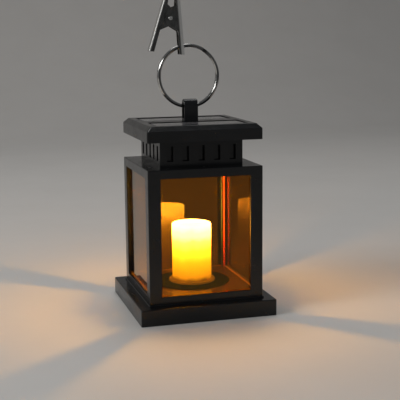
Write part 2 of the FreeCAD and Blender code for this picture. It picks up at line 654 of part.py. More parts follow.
def circuit_board():
    board = block(-BOARD_X, BOARD_X, BOARD_Y[0], BOARD_Y[1], BOARD_BOTTOM + 0.02, BOARD_BOTTOM + BOARD_T)
    for x in (-BOARD_POST_X, BOARD_POST_X):
        board = board.cut(post(x, BOARD_MIDDLE_Y, 1.1, 0, 20))
    return board


def board_parts():
    top = BOARD_BOTTOM + BOARD_T + 0.02
    coil = post(-9.0, 19.0, 3.0, top, top + 6.0)
    capacitor = post(-9.0, 10.0, 2.5, top, top + 5.0)
    chip = block(2.0, 7.0, 12.0, 16.0, top, top + 1.5)
    resistor = Part.makeCylinder(0.9, 5.0, VECTOR(-2.5, 12.0, top + 0.9), VECTOR(0, 1, 0))
    return Part.makeCompound([coil, capacitor, chip, resistor])


def board_screws():
    top = BOARD_BOTTOM + BOARD_T + 0.02
    return Part.makeCompound([small_screw(x, BOARD_MIDDLE_Y, top, False)
                              for x in (-BOARD_POST_X, BOARD_POST_X)])


def switch_body():
    low = COVER_TOP + 0.05
    body = block(-5.2, 5.2, SWITCH_Y - 2.7, SWITCH_Y + 2.7, low, low + 3.6)
    body = body.cut(switch_slot(low - 1, low + 1.6))
    pins = [post(x, SWITCH_Y, 0.4, low + 3.5, low + 5.5) for x in (-3, 0, 3)]
    return fuse([body] + pins)


def switch_knob():
    """A ribbed knob, at the off end of its slot."""
    start = -(KNOB_LENGTH + KNOB_TRAVEL) / 2
    half = KNOB_WIDTH / 2
    knob = block(start, start + KNOB_LENGTH, SWITCH_Y - half, SWITCH_Y + half, 0.3, COVER_TOP + 1.4)
    for n in range(4):
        x = start + 0.5 + 0.85 * n
        knob = knob.cut(block(x, x + 0.4, SWITCH_Y - 2, SWITCH_Y + 2, 0, 0.65))
    return knob


# ---------------------------------------------------------------- split ring
def wire_section(y_middle):
    """The ring's flat wire in section, at angle zero: across the radius along X, across the coil along Y."""
    half_r, half_a, corner = WIRE_RADIAL / 2, WIRE_AXIAL / 2, WIRE_CORNER
    far = VECTOR(RING_X + RING_MID_R, y_middle, RING_Z)
    knee = corner * (1 - math.sqrt(0.5))
    sides = []
    for sx, sy in ((1, 1), (-1, 1), (-1, -1), (1, -1)):
        along_r = VECTOR(sx * half_r, 0, 0)
        along_a = VECTOR(0, sy * half_a, 0)
        first = far + along_r + VECTOR(0, sy * (half_a - corner), 0)
        last = far + along_a + VECTOR(sx * (half_r - corner), 0, 0)
        middle = far + along_r + along_a - VECTOR(sx * knee, sy * knee, 0)
        sides.append((first, middle, last) if sx * sy > 0 else (last, middle, first))
    shapes = []
    for n, (first, middle, last) in enumerate(sides):
        shapes.append(Part.Arc(first, middle, last).toShape())
        shapes.append(Part.LineSegment(last, sides[(n + 1) % 4][0]).toShape())
    return Part.Wire(shapes)


def turned_section(y_middle, degrees):
    section = wire_section(y_middle)
    section.rotate(VECTOR(RING_X, 0, RING_Z), VECTOR(0, -1, 0), degrees)
    return section


def split_ring():
    """Two flat coils side by side; between SPLIT_FROM and SPLIT_TO only the crossing stretch is there."""
    sweep = 360 - (SPLIT_TO - SPLIT_FROM)
    coils = []
    for y in (-COIL_OFFSET, COIL_OFFSET):
        face = Part.Face(turned_section(y, SPLIT_TO))
        coils.append(face.revolve(VECTOR(RING_X, 0, RING_Z), VECTOR(0, -1, 0), sweep))
    steps = 18
    sections = []
    for n in range(steps + 1):
        share = n / steps
        ease = share * share * (3 - 2 * share)
        angle = SPLIT_FROM + share * (SPLIT_TO - SPLIT_FROM)
        sections.append(turned_section(COIL_OFFSET * (2 * ease - 1), angle))
    crossing = Part.makeLoft(sections, True, True)
    return fuse([coils[0], crossing, coils[1]])


# ---------------------------------------------------------------- spring clip
def clip_point(along, across, y=0.0):
    """A point of the clip: along its middle line from the pivot, and across it, towards +X."""
    lean = math.radians(CLIP_LEAN)
    return VECTOR(CLIP_X + along * math.sin(lean) + across * math.cos(lean), y,
                  CLIP_Z + along * math.cos(lean) - across * math.sin(lean))


def plate(outline, y0, y1):
    """A plate of the clip with this outline, from y0 to y1."""
    points = [clip_point(s, w, y0) for s, w in outline]
    face = Part.Face(Part.makePolygon(points + points[:1]))
    return face.extrude(VECTOR(0, y1 - y0, 0))


def spine(along, inset=0.0):
    return SPINE_AT_PIVOT - SPINE_SLOPE * along - inset


def teeth(side):
    """The toothed edge from the nose back to the window, leaving half the tooth gap on this side."""
    points = []
    along = JAW_END
    high = True
    while along > 20.0:
        points.append((along, side * TOOTH_GAP / 2 + (0.5 if high else -0.5) * TOOTH_HEIGHT))
        high = not high
        along -= TOOTH_PITCH / 2
    return points


def clip_half(side):
    """side 1 is the outer half, which hangs in the ring; side -1 the inner half, whose ears lie within it."""
    def over(points):
        return [(s, side * w) for s, w in points]

    def hollowed(solid, low, high, half_width):
        """Clears the inside of the folded sheet between two places along the clip."""
        channel = over([(low, spine(low, CLIP_SHEET)), (high, spine(high, CLIP_SHEET)),
                        (high, -9), (low, -9)])
        return solid.cut(plate(channel, -half_width, half_width))

    edge = over([(s, spine(s)) for s in (HANDLE_END, JAW_END)])
    ear = over(CLIP_EAR)
    throat = over(CLIP_THROAT)
    handle = over([(-9.4, 7.4), (HANDLE_END, spine(HANDLE_END, HANDLE_FLANGE))])
    wide = CLIP_HALF_WIDTH
    narrow = wide - CLIP_SHEET - CLIP_EAR_GAP
    if side > 0:
        body = plate(edge + teeth(side) + throat + ear + handle, -wide, wide)
    else:
        jaw = edge[1:] + teeth(side) + throat + over([(10.2, spine(10.2))])
        grip = over([(HANDLE_END, spine(HANDLE_END)), (-9.4, spine(-9.4))]) + handle
        back = over([(-9.6, spine(-9.6)), (10.4, spine(10.4)),
                     (10.4, spine(10.4, CLIP_SHEET)), (-9.6, spine(-9.6, CLIP_SHEET))])
        ears = over([(-9.8, 7.0), (-9.8, spine(-9.8)), (10.6, spine(10.6)), (10.6, 3.4)]) + ear
        body = fuse([plate(jaw, -wide, wide), plate(grip, -wide, wide), plate(back, -wide, wide),
                     plate(ears, -narrow, narrow)])

    def on_bend(point):
        return abs(abs(point.y) - wide) < 1e-3 and abs(spine_distance(point, side)) < 1e-2
    body = body.makeFillet(0.5, [e for e in edges(body, on_bend) if len(e.Vertexes) == 2])
    if side > 0:
        body = hollowed(body, HANDLE_END - 2, JAW_END - CLIP_SHEET, wide - CLIP_SHEET)
    else:
        body = hollowed(body, HANDLE_END - 2, JAW_END - CLIP_SHEET, narrow - CLIP_SHEET)
        body = hollowed(body, 10.6 + CLIP_SHEET, JAW_END - CLIP_SHEET, wide - CLIP_SHEET)
        body = hollowed(body, HANDLE_END - 2, -9.8 - CLIP_SHEET, wide - CLIP_SHEET)
    body = body.cut(cross_rod(CLIP_X, CLIP_Z, PIN_BORE_R, -9, 9))
    if side > 0:
        body = body.cut(ring_hole())
    return body


def ring_hole():
    """The cutter for the hole in the outer spine that the split ring passes through."""
    middle = clip_point(RING_HOLE_AT, spine(RING_HOLE_AT, CLIP_SHEET / 2))
    face = clip_point(RING_HOLE_AT, spine(RING_HOLE_AT))
    way = (clip_point(RING_HOLE_AT + SPINE_SLOPE, spine(RING_HOLE_AT) + 1) - face).normalize()
    return Part.makeCylinder(RING_HOLE_R, 3, middle - way * 1.5, way)


def spine_distance(point, side):
    """How far a point lies from the outside line of that half's spine."""
    lean = math.radians(CLIP_LEAN)
    dx, dz = point.x - CLIP_X, point.z - CLIP_Z
    along = dx * math.sin(lean) + dz * math.cos(lean)
    across = dx * math.cos(lean) - dz * math.sin(lean)
    return side * across - spine(along)


def clip_outer():
    return clip_half(1)


def clip_inner():
    return clip_half(-1)


def clip_pin():
    wide = CLIP_HALF_WIDTH
    rod = cross_rod(CLIP_X, CLIP_Z, PIN_R, -wide - 0.02, wide + 0.02)
    heads = []
    for sign in (-1, 1):
        head = Part.makeCylinder(PIN_HEAD_R, PIN_HEAD, VECTOR(CLIP_X, sign * (wide + 0.02), CLIP_Z),
                                 VECTOR(0, sign, 0))
        rim = edges(head, lambda p: abs(abs(p.y) - wide - 0.02 - PIN_HEAD) < 1e-3)
        heads.append(head.makeFillet(0.8 * PIN_HEAD, rim))
    return fuse([rod] + heads)


def spring_half(side):
    """Half of the torsion spring: two turns on the pin and the leg that presses on this half's handle."""
    ys = [-side * 0.5, -side * 1.5]
    turns = [Part.makeTorus(SPRING_COIL_R, SPRING_WIRE_R, VECTOR(CLIP_X, y, CLIP_Z), VECTOR(0, 1, 0))
             for y in ys]
    start = clip_point(-1.0, side * SPRING_COIL_R, ys[1])
    end = clip_point(SPRING_LEG_END, side * spine(SPRING_LEG_END, CLIP_SHEET + SPRING_WIRE_R + 0.15), ys[1])
    leg = Part.makeCylinder(SPRING_WIRE_R, (end - start).Length, start, end - start)
    beside = clip_point(0, side * SPRING_COIL_R)
    link = cross_rod(beside.x, beside.z, SPRING_WIRE_R * 0.9, min(ys), max(ys))
    return fuse(turns + [leg, link])


def spring_outer():
    return spring_half(1)


def spring_inner():
    return spring_half(-1)


# ---------------------------------------------------------------- write every piece
def main():
    os.makedirs(OUT, exist_ok=True)
    pieces = {
        "base_shell": base_shell(), "bottom_cover": bottom_cover(), "battery_door": battery_door(),
        "cover_screws": cover_screws(), "door_screw": door_screw(),
        "floor_tray": floor_tray(), "tray_screws": tray_screws(), "candle_seat": candle_seat(),
        "candle_shell": candle_shell(), "led_stem": led_stem(), "led": led(), "led_leads": led_leads(),
        "frame": frame(), "neck": neck(), "vent_liner": vent_liner(), "neck_screws": neck_screws(),
        "cap": cap(), "cap_screws": cap_screws(), "hanging_lug": hanging_lug(), "lug_screws": lug_screws(),
        "solar_board_front": solar_board(-1), "solar_board_rear": solar_board(1),
        "solar_cells_front": solar_cells(-1), "solar_cells_rear": solar_cells(1),
        "solar_lead_red": red_lead(), "solar_lead_black": black_lead(),
        "panel_link": panel_link(),
        "rechargeable_cell": rechargeable_cell(), "cell_spring": cell_spring(), "cell_plate": cell_plate(),
        "circuit_board": circuit_board(), "board_parts": board_parts(), "board_screws": board_screws(),
        "switch_body": switch_body(), "switch_knob": switch_knob(),
        "split_ring": split_ring(),
        "clip_outer": clip_outer(), "clip_inner": clip_inner(), "clip_pin": clip_pin(),
        "spring_outer": spring_outer(), "spring_inner": spring_inner(),
    }
    for side in ("front", "rear", "left", "right"):
        pieces["pane_" + side] = pane(side)
    for name, shape in pieces.items():
        if not shape.isValid() or not shape.Solids:
            print("not a valid solid:", name)
        shape.exportStep(os.path.join(OUT, name + ".step"))
    print(len(pieces), "pieces")


main()
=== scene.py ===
import math

import bpy
from mathutils import Matrix, Vector


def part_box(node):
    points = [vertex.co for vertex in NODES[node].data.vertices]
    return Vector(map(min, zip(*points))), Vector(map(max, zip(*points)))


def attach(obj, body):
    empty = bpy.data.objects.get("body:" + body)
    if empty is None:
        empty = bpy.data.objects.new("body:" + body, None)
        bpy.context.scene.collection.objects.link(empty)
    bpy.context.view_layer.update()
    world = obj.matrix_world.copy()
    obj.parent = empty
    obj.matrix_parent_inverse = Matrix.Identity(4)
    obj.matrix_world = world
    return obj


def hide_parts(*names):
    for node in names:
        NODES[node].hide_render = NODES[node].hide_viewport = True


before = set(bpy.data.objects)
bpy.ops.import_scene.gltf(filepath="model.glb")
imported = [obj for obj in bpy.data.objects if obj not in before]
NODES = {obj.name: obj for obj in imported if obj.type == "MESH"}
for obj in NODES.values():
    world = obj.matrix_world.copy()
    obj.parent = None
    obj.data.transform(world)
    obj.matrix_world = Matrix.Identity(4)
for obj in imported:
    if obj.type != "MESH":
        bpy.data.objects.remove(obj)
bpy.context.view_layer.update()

# A hanging solar lantern: finishes for every piece of the frame, the wound springs, the conductor lines of
# the solar cells, and a pale studio to show it in.  Metres throughout.

MM = 0.001

CANDLE_GLOW = 80.0                      # how much brighter the lit wax is than the studio's white

# the spring clip's shape, for the painted highlight that follows its folded back
CLIP_LEAN = math.radians(6.8)           # from the vertical
CLIP_BACK = 9.33 * MM                   # from the clip's middle line to its back, level with the pin
CLIP_TAPER = 0.194                      # how much nearer the back comes per length towards the jaws

# springs
TORSION_COIL, TORSION_WIRE = 2.4 * MM, 0.33 * MM
TORSION_TURNS = 1.9
TORSION_START, TORSION_END = 0.42 * MM, 1.72 * MM       # from the clip's middle plane
LEG_INSET, LEG_RISE = 0.7 * MM, 0.5 * MM                # the leg's end, from its box's corner
CONTACT_WIRE = 0.32 * MM
CONTACT_WIDE, CONTACT_NARROWER = 4.3 * MM, 2.0 * MM     # radius at the plate, and how much it loses
CONTACT_START, CONTACT_RUN = 0.85 * MM, 2.7 * MM        # along the cell
CONTACT_TURNS = 4.5
PLATE_SIZE, PLATE_CORNER = 10.0 * MM, 1.2 * MM
PLATE_FACES = 0.02 * MM, 0.45 * MM

# solar cells: strips of silicon with their conductors
STRIPS, STRIP_GAP = 4, 0.5 * MM
FINGERS, FINGER_WIDTH = 44, 0.14 * MM
BAR_WIDTH, LINE_THICKNESS = 0.7 * MM, 0.04 * MM


# ---------------------------------------------------------------- trees written as Python
class Term:
    """A value of a node tree, so that a sum or product of values can be written as Python."""

    def __init__(self, graph, socket):
        self.graph = graph
        self.socket = socket

    def math(self, operation, first, second):
        return self.graph.node("ShaderNodeMath", {"operation": operation}, {0: first, 1: second})

    def __add__(self, other):
        return self.math("ADD", self, other)

    def __sub__(self, other):
        return self.math("SUBTRACT", self, other)

    def __rsub__(self, other):
        return self.math("SUBTRACT", other, self)

    def __mul__(self, other):
        return self.math("MULTIPLY", self, other)

    def __truediv__(self, other):
        return self.math("DIVIDE", self, other)

    def __pow__(self, other):
        return self.math("POWER", self, other)

    def __abs__(self):
        return self.math("ABSOLUTE", self, 0.0)

    __radd__ = __add__
    __rmul__ = __mul__


class Graph:
    """A node tree that grows by one method."""

    def __init__(self, tree):
        self.tree = tree

    def node(self, kind, settings=None, sockets=None, out=0):
        """Adds a node: its settings first (a ramp's stops among them), then its sockets' values or links."""
        made = self.tree.nodes.new(kind)
        for name, value in (settings or {}).items():
            if name == "stops":
                ramp = made.color_ramp.elements
                while len(ramp) < len(value):
                    ramp.new(0.5)
                for stop, (place, colour) in zip(ramp, value):
                    stop.position = place
                    stop.color = (*colour, 1.0)
            else:
                setattr(made, name, value)
        for name, value in (sockets or {}).items():
            for one in value if isinstance(value, list) else [value]:
                if isinstance(one, Term):
                    self.tree.links.new(one.socket, made.inputs[name])
                elif isinstance(one, tuple) and made.inputs[name].type == "RGBA":
                    made.inputs[name].default_value = (*one, 1.0)
                else:
                    made.inputs[name].default_value = one
        return Term(self, made.outputs[out]) if len(made.outputs) else None


class Finish(Graph):
    """A material for one of the lantern's finishes, patterned in the object's own metres."""

    def __init__(self, name):
        self.material = bpy.data.materials.new(name)
        self.material.use_nodes = True
        super().__init__(self.material.node_tree)
        self.tree.nodes.clear()
        self.place = self.node("ShaderNodeTexCoord", out=3)

    def stretched(self, scale, turn=(0, 0, 0)):
        """The place, turned and stretched, to lay a pattern along a direction."""
        return self.node("ShaderNodeMapping", {"vector_type": "TEXTURE"},
                         {0: self.place, 2: turn, 3: tuple(1 / s for s in scale)})

    def along(self, axis, place=None):
        return self.node("ShaderNodeSeparateXYZ", None, {0: place or self.place}, "XYZ".index(axis))

    def noise(self, scale, detail=2.0, rough=0.5, place=None):
        return self.node("ShaderNodeTexNoise", None, {"Vector": place or self.place, "Scale": scale,
                                                      "Detail": detail, "Roughness": rough})

    def smooth(self, value, low, high):
        """0 below low and 1 above high, eased between."""
        return self.node("ShaderNodeMapRange", {"interpolation_type": "SMOOTHSTEP"},
                         {0: value, 1: low, 2: high})

    def upward(self):
        """1 on faces that look up."""
        normal = self.node("ShaderNodeNewGeometry", out=1)
        return self.smooth(self.along("Z", normal), 0.7, 0.98)

    def mix(self, share, first, second):
        return self.node("ShaderNodeMix", {"data_type": "RGBA"}, {0: share, 6: first, 7: second}, 2)

    def ramp(self, value, stops):
        return self.node("ShaderNodeValToRGB", {"stops": stops}, {0: value})

    def bump(self, height, depth, strength=1.0, under=None):
        sockets = {"Height": height, "Distance": depth, "Strength": strength}
        if under:
            sockets["Normal"] = under
        return self.node("ShaderNodeBump", None, sockets)

    def surface(self, colour, rough, normal=None, **more):
        sockets = {"Base Color": colour, "Roughness": rough}
        if normal:
            sockets["Normal"] = normal
        sockets.update({name.replace("_", " "): value for name, value in more.items()})
        return self.node("ShaderNodeBsdfPrincipled", None, sockets)

    def done(self, shader):
        self.node("ShaderNodeOutputMaterial", None, {"Surface": shader})
        return self.material


# ---------------------------------------------------------------- finishes
def moulded_plastic(name, dark, light, gloss, grain_depth, dust=0.0, sheen=0.5):
    """Injection-moulded plastic: a fine spark-eroded grain, rubbed patches and dust where it faces up."""
    f = Finish(name)
    broad = f.noise(22, 3)
    rubbed = f.noise(170, 6, 0.65)
    grain = f.noise(2400, 2)
    settled = f.upward() * f.smooth(f.noise(700, 6, 0.72), 0.5, 0.8) * dust
    wiped = f.smooth(f.noise(60, 4, 0.6, f.stretched((1, 1, 3), (0.3, 0.2, 0.5))), 0.35, 0.7)
    colour = f.mix(f.smooth(broad, 0.3, 0.7), dark, light)
    colour = f.mix(settled, colour, (0.16, 0.15, 0.13))
    rough = gloss + 0.10 * rubbed + 0.07 * wiped + 0.35 * settled
    normal = f.bump(f.noise(45, 2), 0.00025, 0.35)
    normal = f.bump(grain, grain_depth, 0.5, normal)
    return f.done(f.surface(colour, rough, normal, Specular_IOR_Level=sheen))


def amber_pane():
    """Clear amber acrylic with faint waves and wipe marks; light from lamps goes straight through it."""
    f = Finish("amber pane")
    smear = f.smooth(f.noise(55, 5, 0.65, f.stretched((1, 1, 0.35), (0.25, 0, 0.1))), 0.45, 0.75)
    specks = f.smooth(f.noise(1500, 3, 0.6), 0.7, 0.78)
    tint = f.mix(f.smooth(f.noise(14, 2), 0.3, 0.7), (0.46, 0.228, 0.032), (0.38, 0.175, 0.020))
    rough = 0.008 + 0.03 * smear + 0.25 * specks
    wave = f.bump(f.noise(16, 1), 0.0004, 0.14)
    clear = f.surface(tint, rough, wave, Transmission_Weight=1.0, IOR=1.5,
                      Specular_Tint=(1.0, 0.92, 0.34))
    straight = f.node("ShaderNodeBsdfTransparent", None, {0: (0.52, 0.29, 0.045)})
    lamp = f.node("ShaderNodeLightPath", out=1)
    return f.done(f.node("ShaderNodeMixShader", None, {0: lamp, 1: clear, 2: straight}))


def glowing_wax(bottom, top):
    """A moulded candle lit from inside: hottest near the top, deep orange at the foot, a little mottled."""
    f = Finish("glowing wax")
    height = (f.along("Z") - bottom) / (top - bottom)
    mottle = f.noise(150, 4, 0.6)
    runs = f.noise(110, 3, 0.5, f.stretched((1, 1, 0.16)))
    warmth = height + 0.10 * (mottle - 0.5) + 0.07 * (runs - 0.5)
    glow = f.ramp(warmth, [(0.0, (0.003, 0.002, 0.0002)), (0.05, (0.005, 0.003, 0.0003)),
                           (0.11, (0.027, 0.0175, 0.0008)), (0.36, (0.058, 0.037, 0.0025)),
                           (0.56, (0.12, 0.085, 0.014)), (0.72, (0.27, 0.20, 0.075)),
                           (0.88, (0.75, 0.60, 0.36)), (0.985, (1.0, 0.86, 0.80))])
    normal = f.bump(runs + 0.4 * mottle, 0.0006, 0.35)
    normal = f.bump(f.noise(1300, 3), 0.00006, 0.4, normal)
    colour = f.mix(mottle, (0.88, 0.70, 0.36), (0.94, 0.80, 0.48))
    colour = f.mix(f.smooth(height, 0.10, 0.03), colour, (0.34, 0.19, 0.05))
    return f.done(f.surface(colour, 0.42 + 0.2 * mottle, normal,
                            Emission_Color=glow, Emission_Strength=CANDLE_GLOW))


def tray_plastic(edge):
    """Glossy amber-brown plastic, with painted light: a bright orange emitted glow along its edges and a
    faint painted glow near its middle.
    """
    f = Finish("amber tray")
    x, y = abs(f.along("X")), abs(f.along("Y"))
    reach = f.node("ShaderNodeMath", {"operation": "MAXIMUM"}, {0: x, 1: y})
    # painted light: a mask for the orange glow emitted along the tray's edges
    painted_edge_glow = f.smooth(reach, edge - 0.0026, edge - 0.0006)
    # painted light: 1 in the middle near the candle, fading towards the edges, for a faint painted glow
    near = 1.0 - f.smooth(reach, 0.018, edge)
    swirl = f.noise(38, 4, 0.6)
    colour = f.mix(swirl, (0.115, 0.040, 0.004), (0.19, 0.070, 0.008))
    # painted glow: the emission is bright orange at the edges and faintly warm in the middle
    glow = f.mix(painted_edge_glow, f.mix(near, (0.008, 0.002, 0.0), (0.03, 0.010, 0.001)), (1.0, 0.50, 0.03))
    normal = f.bump(f.noise(900, 3), 0.00005, 0.4)
    return f.done(f.surface(colour, 0.14 + 0.10 * f.noise(240, 5, 0.6), normal,
                            Emission_Color=glow, Emission_Strength=1.0))


def polished_disc():
    """The flat black seat: turned rings, fine scratches and dust."""
    f = Finish("black seat")
    x, y = f.along("X"), f.along("Y")
    radius = (x * x + y * y) ** 0.5
    rings = f.noise(1.0, 2, 0.5, f.node("ShaderNodeCombineXYZ", None, {0: radius * 2600}))
    scratch = f.smooth(f.noise(420, 6, 0.7, f.stretched((1, 0.08, 1), (0, 0, 0.7))), 0.58, 0.72)
    colour = f.mix(f.smooth(f.noise(800, 5, 0.7), 0.55, 0.8), (0.0012, 0.0011, 0.0010), (0.006, 0.005, 0.004))
    normal = f.bump(rings + 0.5 * scratch, 0.00003, 0.5)
    return f.done(f.surface(colour, 0.62 + 0.12 * scratch + 0.06 * rings, normal, Specular_IOR_Level=0.04))


def plated_metal(name, dull, bright, rough, pits=0.00004, stroke=(1, 1, 1), turn=(0, 0, 0)):
    """Plated or bare steel: strokes of the polishing belt, a patchy tone and small pits."""
    f = Finish(name)
    strokes = f.noise(1500, 5, 0.6, f.stretched(stroke, turn))
    patches = f.noise(130, 5, 0.65)
    pitted = f.smooth(f.noise(1900, 3, 0.6), 0.66, 0.8)
    colour = f.mix(f.smooth(patches, 0.3, 0.7), dull, bright)
    colour = f.mix(pitted * 0.5, colour, tuple(0.35 * c for c in dull))
    normal = f.bump(strokes - 0.6 * pitted, pits, 0.6)
    rough = rough + 0.10 * patches + 0.08 * strokes + 0.2 * pitted
    return f.done(f.surface(colour, rough, normal, Metallic=1.0))


def ring_wire(low, high):
    """Polished nickel wire with rounded flanks: two coils side by side, painted shade in the seam between
    them, and a painted dark reflection on the middle of the wire's face that leaves its rounded edges as
    painted highlights.
    """
    f = Finish("nickel ring")
    middle = (low + high) / 2
    half_wire = 1.4 * MM
    path = (high.x - low.x) / 2 - half_wire
    x, z = f.along("X") - middle.x, f.along("Z") - middle.z
    offset = ((x * x + z * z) ** 0.5 - path) / half_wire
    crown = f.smooth(abs(offset), 1.05, 0.0)
    # painted shade: a narrow band along the gap between the two coils
    painted_seam_shade = f.smooth(abs(f.along("Y")), 0.00016, 0.00003)
    strokes = f.noise(1500, 4, 0.6)
    pitted = f.smooth(f.noise(1900, 3, 0.6), 0.66, 0.8)
    colour = f.mix(f.smooth(f.noise(160, 4, 0.6), 0.3, 0.7), (0.36, 0.355, 0.34), (0.56, 0.55, 0.53))
    # painted reflection: the middle of the wire's face is coloured dark, and its edges stay bright as painted
    # highlights
    colour = f.mix(f.smooth(crown, 0.62, 0.95), colour, (0.10, 0.098, 0.092))
    # painted shade in the seam between the two coils
    colour = f.mix(0.8 * painted_seam_shade, colour, (0.01, 0.01, 0.01))
    normal = f.bump(crown, 0.0011, 0.85)
    normal = f.bump(strokes - 0.6 * pitted, 0.00003, 0.5, normal)
    return f.done(f.surface(colour, 0.10 + 0.08 * strokes + 0.2 * pitted, normal, Metallic=1.0))


def clip_sheet(name, pivot, reach):
    """Pressed steel sheet: dark nickel, with a painted highlight coloured bright along the folded back within
    reach.
    """
    f = Finish(name)
    x, z = f.along("X") - pivot.x, f.along("Z") - pivot.z
    along = x * math.sin(CLIP_LEAN) + z * math.cos(CLIP_LEAN)
    across = x * math.cos(CLIP_LEAN) - z * math.sin(CLIP_LEAN)
    depth = CLIP_BACK - CLIP_TAPER * along - abs(across)
    # the painted highlight's mask: 1 near the folded back, within reach; it also makes the sheet rougher
    # there
    rubbed = f.smooth(depth, reach, 0.6 * reach)
    strokes = f.noise(1300, 5, 0.6, f.stretched((1, 1, 0.07), (0, CLIP_LEAN, 0)))
    patches = f.smooth(f.noise(150, 5, 0.65), 0.3, 0.7)
    pitted = f.smooth(f.noise(1900, 3, 0.6), 0.64, 0.8)
    colour = f.mix(patches, (0.085, 0.084, 0.080), (0.15, 0.148, 0.142))
    # painted highlight: bright steel colour along the folded back
    colour = f.mix(rubbed * (0.75 + 0.25 * strokes), colour, (0.74, 0.73, 0.70))
    normal = f.bump(strokes - 0.6 * pitted, 0.00004, 0.6)
    rough = 0.2 + 0.14 * strokes + 0.12 * rubbed + 0.2 * pitted
    return f.done(f.surface(colour, rough, normal, Metallic=1.0))


def solar_cell():
    """Crystalline silicon: angular grains in near-black blues under clear resin."""
    f = Finish("silicon cell")
    grains = f.node("ShaderNodeTexVoronoi", None,
                    {"Vector": f.stretched((1, 0.6, 1), (0, 0, 0.5)), "Scale": 420.0}, 1)
    tone = f.along("X", grains)
    colour = f.mix(tone, (0.004, 0.006, 0.018), (0.012, 0.018, 0.055))
    colour = f.mix(f.smooth(f.noise(60, 3), 0.4, 0.7), colour, (0.016, 0.010, 0.040))
    normal = f.bump(f.noise(180, 2), 0.00006, 0.4)
    return f.done(f.surface(colour, 0.22 + 0.12 * tone, normal, Coat_Weight=1.0, Coat_Roughness=0.05))


def resin_board():
    """The panel's dark backing board under resin, with a faint woven print."""
    f = Finish("panel board")
    weave = f.node("ShaderNodeTexWave", None, {"Vector": f.place, "Scale": 900.0, "Distortion": 1.0}, 1)
    colour = f.mix(weave, (0.006, 0.007, 0.010), (0.018, 0.019, 0.024))
    normal = f.bump(f.noise(160, 3), 0.00008, 0.5)
    return f.done(f.surface(colour, 0.2 + 0.1 * f.noise(300, 4), normal,
                            Coat_Weight=1.0, Coat_Roughness=0.06))


def lead_jacket(name, dark, light):
    """Soft vinyl insulation with drawing lines along it and scuffs."""
    f = Finish(name)
    scuff = f.smooth(f.noise(700, 4, 0.6), 0.5, 0.75)
    drawn = f.noise(2500, 2, 0.5, f.stretched((1, 1, 0.05)))
    colour = f.mix(f.noise(90, 4, 0.6), dark, light)
    normal = f.bump(drawn + 0.5 * scuff, 0.00004, 0.5)
    return f.done(f.surface(colour, 0.38 + 0.22 * scuff, normal))


def shrink_wrap(x0, x1):
    """The rechargeable cell: a green sleeve with a pale band, bare metal at both ends, shrunk creases."""
    f = Finish("cell sleeve")
    length = (f.along("X") - x0) / (x1 - x0)
    band = f.smooth(length, 0.74, 0.745) * (1 - f.smooth(length, 0.93, 0.935))
    bare = f.smooth(length, 0.955, 0.96) + 1 - f.smooth(length, 0.012, 0.016)
    creases = f.noise(420, 3, 0.5, f.stretched((0.12, 1, 1)))
    colour = f.mix(band, f.mix(creases, (0.02, 0.16, 0.055), (0.035, 0.24, 0.08)), (0.72, 0.73, 0.7))
    colour = f.mix(bare, colour, (0.62, 0.61, 0.58))
    normal = f.bump(creases, 0.00008, 0.4)
    return f.done(f.surface(colour, 0.2 + 0.15 * creases, normal, Metallic=bare))


def circuit_board():
    """Green solder mask over copper tracks."""
    f = Finish("circuit board")
    cells = f.node("ShaderNodeTexVoronoi", {"feature": "DISTANCE_TO_EDGE"},
                   {"Vector": f.stretched((1, 1, 1), (0, 0, 0.785)), "Scale": 260.0})
    track = 1 - f.smooth(cells, 0.08, 0.14)
    colour = f.mix(track, (0.012, 0.085, 0.03), (0.03, 0.19, 0.06))
    normal = f.bump(track + 0.2 * f.noise(1500, 2), 0.00006, 0.5)
    return f.done(f.surface(colour, 0.3 + 0.2 * f.noise(400, 4), normal))


def clear_lens():
    """The LED's resin dome, with a warm phosphor glow in it."""
    f = Finish("led resin")
    swirl = f.noise(900, 3)
    glow = f.mix(swirl, (1.0, 0.62, 0.2), (1.0, 0.8, 0.42))
    normal = f.bump(f.noise(500, 2), 0.00003, 0.4)
    return f.done(f.surface((0.95, 0.82, 0.5), 0.1 + 0.1 * swirl, normal,
                            Emission_Color=glow, Emission_Strength=3.0))


# ---------------------------------------------------------------- pieces made here
def show(name, mesh, material, body):
    """A finished piece: a plain mesh at the origin that rides on a body."""
    piece = bpy.data.objects.new(name, mesh)
    bpy.context.scene.collection.objects.link(piece)
    mesh.materials.clear()
    mesh.materials.append(material)
    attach(piece, body)
    return piece


def bent_wire(name, points, radius, material, body):
    """Round wire along the points, its ends closed."""
    curve = bpy.data.curves.new(name, "CURVE")
    curve.dimensions = "3D"
    curve.bevel_depth = radius
    curve.bevel_resolution = 4
    curve.use_fill_caps = True
    spline = curve.splines.new("POLY")
    spline.points.add(len(points) - 1)
    for point, place in zip(spline.points, points):
        point.co = (*place, 1.0)
    spline.use_smooth = True
    drawn = bpy.data.objects.new(name, curve)
    mesh = bpy.data.meshes.new_from_object(drawn)
    bpy.data.objects.remove(drawn)
    return show(name, mesh, material, body)


def torsion_spring(side, material):
    """One half of the clip's spring: turns round the pin, then a leg that presses on its handle."""
    low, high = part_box("clip_pin")
    pivot = (low + high) / 2
    half = "outer" if side > 0 else "inner"
    low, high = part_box("spring_" + half)
    leg_x = high.x - LEG_INSET if side > 0 else low.x + LEG_INSET
    leg_z = low.z + LEG_RISE
    start_y, end_y = -side * TORSION_START, -side * TORSION_END
    down = math.atan2(leg_z - pivot.z, leg_x - pivot.x)
    leave = down + side * math.acos(TORSION_COIL / math.hypot(leg_x - pivot.x, leg_z - pivot.z))
    steps = 64
    points = []
    for n in range(steps + 1):
        share = n / steps
        angle = leave + side * (1 - share) * TORSION_TURNS * 2 * math.pi
        points.append((pivot.x + TORSION_COIL * math.cos(angle), start_y + share * (end_y - start_y),
                       pivot.z + TORSION_COIL * math.sin(angle)))
    points.append((leg_x, end_y, leg_z))
    body = "clip_%s_half" % half
    piece = bent_wire("wound_spring_" + half, points, TORSION_WIRE, material, body)
    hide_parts("spring_" + half)


